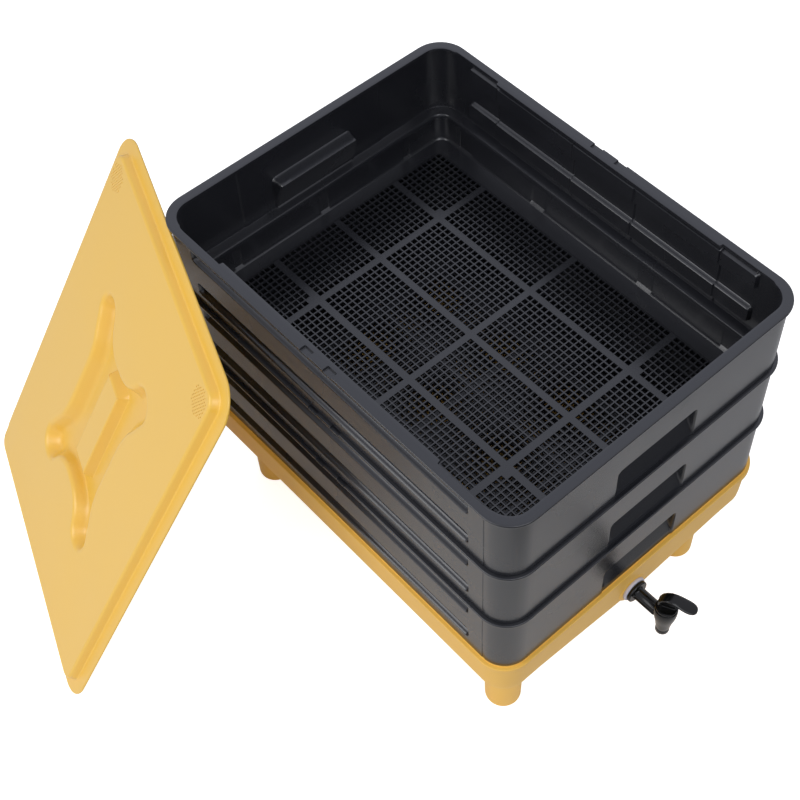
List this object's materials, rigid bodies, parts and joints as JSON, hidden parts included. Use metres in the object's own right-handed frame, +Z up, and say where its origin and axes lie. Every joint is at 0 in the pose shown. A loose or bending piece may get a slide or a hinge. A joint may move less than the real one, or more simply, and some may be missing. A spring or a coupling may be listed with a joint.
{
  "type": "wormery",
  "caption": "Stackable worm composter: nesting mesh-floored trays on a collector base with push-in legs and a drain tap, its lid off and leaning on the stack.",
  "frame": {"origin": "on the ground under the middle of the base", "axes": "+X across the short way, +Y along the long way away from the tap, +Z up"},
  "size_m": [0.7187, 0.8177, 0.4693],
  "materials": {
    "tray_grey": "satin moulded, dark grey",
    "yellow": "soft gloss, warm mustard yellow",
    "tap_black": "gloss black",
    "seal": "matt, pale lilac grey"
  },
  "bodies": {
    "base": {"base": "yellow", "leg_front_left": "yellow", "leg_front_right": "yellow", "leg_rear_left": "yellow", "leg_rear_right": "yellow", "tap_body": "tap_black", "tap_washer": "seal", "tap_inner_washer": "seal", "tap_nut": "tap_black"},
    "tray_1": {"tray_1": "tray_grey"},
    "tray_2": {"tray_2": "tray_grey"},
    "tray_3": {"tray_3": "tray_grey"},
    "lid": {"lid": "yellow"},
    "tap_key": {"tap_key": "tap_black"}
  },
  "joints": [
    {"name": "tray_1_lift", "type": "slide", "parent": "base", "child": "tray_1", "axis": [0, 0, 1], "range_m": [0, 0.15]},
    {"name": "tray_2_lift", "type": "slide", "parent": "tray_1", "child": "tray_2", "axis": [0, 0, 1], "range_m": [0, 0.15]},
    {"name": "tray_3_lift", "type": "slide", "parent": "tray_2", "child": "tray_3", "axis": [0, 0, 1], "range_m": [0, 0.15]},
    {"name": "lid_carry", "type": "slide", "parent": "base", "child": "lid", "axis": [-0.9361, 0.3518, 0], "range_m": [0, 0.3]},
    {"name": "tap_turn", "type": "hinge", "parent": "base", "child": "tap_key", "pos_m": [0, -0.306, 0.158], "axis": [0, 0, 1], "range_deg": [-27, 63]}
  ]
}
